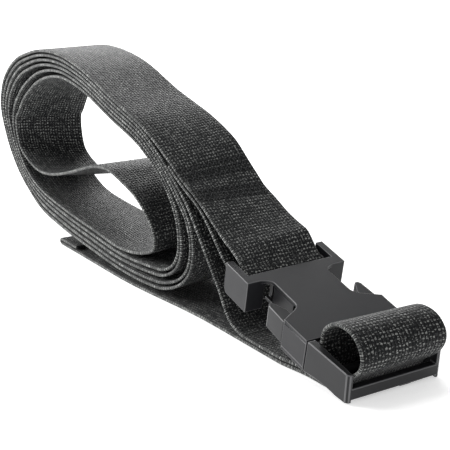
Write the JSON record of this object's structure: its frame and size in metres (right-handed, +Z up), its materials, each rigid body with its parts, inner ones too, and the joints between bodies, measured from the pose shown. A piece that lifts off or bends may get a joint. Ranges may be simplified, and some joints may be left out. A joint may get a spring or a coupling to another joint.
{
  "type": "luggage strap",
  "caption": "Charcoal webbing luggage strap wound into a flat coil on its tail and closed by a side-release buckle with a webbing adjuster loop.",
  "frame": {"origin": "middle of the footprint, on the ground under the strap", "axes": "+X along the strap towards the buckle's adjuster end, +Y across the webbing, +Z up"},
  "size_m": [0.3532, 0.0502, 0.1063],
  "materials": {
    "webbing": "plain-weave charcoal webbing with lengthwise ribs",
    "thread": "dark sewing thread",
    "socket_plastic": "fine satin moulded acetal",
    "plug_plastic": "fine satin moulded acetal"
  },
  "bodies": {
    "strap_coil": {"webbing_coil": "webbing", "webbing_tail": "webbing", "end_stitch_1": "thread", "end_stitch_2": "thread", "end_stitch_3": "thread", "end_stitch_4": "thread", "end_stitch_5": "thread", "end_stitch_6": "thread", "hem_stitch_1": "thread", "hem_stitch_2": "thread"},
    "socket": {"socket_housing": "socket_plastic", "webbing_feed_upper": "webbing", "webbing_feed_lower": "webbing"},
    "plug": {"plug_frame": "plug_plastic", "webbing_adjuster_loop": "webbing"},
    "arm_near": {"release_arm_near": "plug_plastic"},
    "arm_far": {"release_arm_far": "plug_plastic"}
  },
  "joints": [
    {"name": "buckle_lift", "type": "hinge", "parent": "strap_coil", "child": "socket", "pos_m": [0.09168, 0.00116, 0.0278], "axis": [0, -1, 0], "range_deg": [0, 18]},
    {"name": "plug_slide", "type": "slide", "parent": "socket", "child": "plug", "axis": [0.9613, 0, -0.2756], "range_m": [0, 0.032], "deforming": ["release_arm_near", "release_arm_far"]},
    {"name": "release_arm_near_press", "type": "hinge", "parent": "plug", "child": "arm_near", "pos_m": [0.14278, -0.01754, 0.0119], "axis": [-0.2756, 0, -0.9613], "range_deg": [0, 10], "stiffness_Nm_per_rad": 1},
    {"name": "release_arm_far_press", "type": "hinge", "parent": "plug", "child": "arm_far", "pos_m": [0.14278, 0.01986, 0.0119], "axis": [0.2756, 0, 0.9613], "range_deg": [0, 10], "stiffness_Nm_per_rad": 1}
  ]
}
